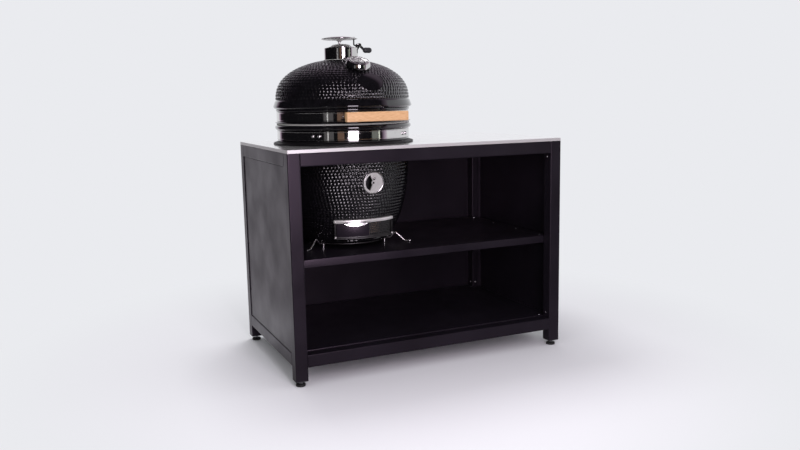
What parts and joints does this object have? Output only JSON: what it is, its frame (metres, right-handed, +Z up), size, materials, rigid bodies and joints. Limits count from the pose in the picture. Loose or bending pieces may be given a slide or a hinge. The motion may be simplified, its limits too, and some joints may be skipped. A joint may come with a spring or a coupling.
{
  "type": "kamado grill table",
  "caption": "Pebbled ceramic kamado grill in a square-tube outdoor kitchen table with a steel worktop, open shelves, closed sides and levelling feet.",
  "frame": {"origin": "on the floor, under the middle of the table", "axes": "+Z up, +X to the right seen from the open front, +Y to the closed back"},
  "size_m": [1.2, 0.73, 1.3433],
  "materials": {
    "black_powder_coat": "satin powder coat",
    "brushed_steel": "fine brushed",
    "polished_steel": "mirror polished stainless",
    "glazed_ceramic": "glossy pebbled black glaze",
    "fireclay": "unglazed matt",
    "bamboo": "oiled bamboo",
    "black_plastic": "fine matt",
    "rubber": "matt",
    "felt": "woven felt",
    "cast_iron": "seasoned matt",
    "plywood": "bare board",
    "dial_glass": "clear over a white dial"
  },
  "bodies": {
    "table": {"post_front_left": "black_powder_coat", "post_front_right": "black_powder_coat", "post_rear_left": "black_powder_coat", "post_rear_right": "black_powder_coat", "top_rail_front": "black_powder_coat", "top_rail_rear": "black_powder_coat", "top_rail_left": "black_powder_coat", "top_rail_right": "black_powder_coat", "bottom_rail_front": "black_powder_coat", "bottom_rail_rear": "black_powder_coat", "bottom_rail_left": "black_powder_coat", "bottom_rail_right": "black_powder_coat", "side_panel_left": "black_powder_coat", "side_panel_right": "black_powder_coat", "back_panel": "black_powder_coat", "middle_shelf": "black_powder_coat", "bottom_shelf": "black_powder_coat", "hinge_lower_bracket": "black_powder_coat", "worktop_skin": "brushed_steel", "hinge_pin": "brushed_steel", "hinge_spring_left": "brushed_steel", "hinge_spring_right": "brushed_steel", "cooking_grate": "brushed_steel", "worktop_board": "plywood", "post_plug_front_left": "black_plastic", "post_plug_front_right": "black_plastic", "post_plug_rear_left": "black_plastic", "post_plug_rear_right": "black_plastic", "base_shell": "glazed_ceramic", "base_gasket": "felt", "base_band": "polished_steel", "port_bezel": "polished_steel", "draft_frame": "polished_steel", "kamado_stand": "polished_steel", "charcoal_grate": "cast_iron", "fire_bowl": "fireclay", "fire_ring": "fireclay"},
    "lid": {"dome_shell": "glazed_ceramic", "dome_gasket": "felt", "dome_band": "polished_steel", "hinge_upper_bracket": "black_powder_coat", "handle_bar": "bamboo", "handle_bracket_left": "polished_steel", "handle_bracket_right": "polished_steel", "thermometer_case": "polished_steel", "thermometer_glass": "dial_glass", "chimney_barrel": "polished_steel", "vent_grille": "cast_iron"},
    "cap": {"rain_cap": "polished_steel", "vent_lever": "cast_iron", "lever_grip": "black_plastic"},
    "damper": {"vent_damper": "polished_steel"},
    "door": {"draft_door": "black_powder_coat"},
    "screen": {"spark_screen": "brushed_steel"},
    "shutter": {"port_shutter": "polished_steel"},
    "foot_front_left": {"levelling_foot_front_left": "rubber"},
    "foot_front_right": {"levelling_foot_front_right": "rubber"},
    "foot_rear_left": {"levelling_foot_rear_left": "rubber"},
    "foot_rear_right": {"levelling_foot_rear_right": "rubber"}
  },
  "joints": [
    {"name": "lid_hinge", "type": "hinge", "parent": "table", "child": "lid", "pos_m": [-0.244, 0.315, 0.9822], "axis": [-1, 0, 0], "range_deg": [0, 75]},
    {"name": "vent_damper_turn", "type": "hinge", "parent": "lid", "child": "damper", "pos_m": [-0.244, 0, 1.3], "axis": [0, 0, 1], "range_deg": [0, 36]},
    {"name": "rain_cap_tilt", "type": "hinge", "parent": "lid", "child": "cap", "pos_m": [-0.1655, 0, 1.30798], "axis": [0, 1, 0], "range_deg": [0, 40]},
    {"name": "draft_door_slide", "type": "hinge", "parent": "table", "child": "door", "pos_m": [-0.244, 0, 0.56], "axis": [0, 0, 1], "range_deg": [0, 27.4]},
    {"name": "spark_screen_slide", "type": "hinge", "parent": "table", "child": "screen", "pos_m": [-0.244, 0, 0.56], "axis": [0, 0, 1], "range_deg": [-27.4, 0]},
    {"name": "port_shutter_turn", "type": "hinge", "parent": "table", "child": "shutter", "pos_m": [-0.22534, -0.26685, 0.759], "axis": [0.0694, -0.9922, -0.1037], "range_deg": [0, 140]},
    {"name": "foot_screw_front_left", "type": "slide", "parent": "table", "child": "foot_front_left", "axis": [0, 0, 1], "range_m": [-0.012, 0]},
    {"name": "foot_screw_front_right", "type": "slide", "parent": "table", "child": "foot_front_right", "axis": [0, 0, 1], "range_m": [-0.012, 0]},
    {"name": "foot_screw_rear_left", "type": "slide", "parent": "table", "child": "foot_rear_left", "axis": [0, 0, 1], "range_m": [-0.012, 0]},
    {"name": "foot_screw_rear_right", "type": "slide", "parent": "table", "child": "foot_rear_right", "axis": [0, 0, 1], "range_m": [-0.012, 0]}
  ]
}
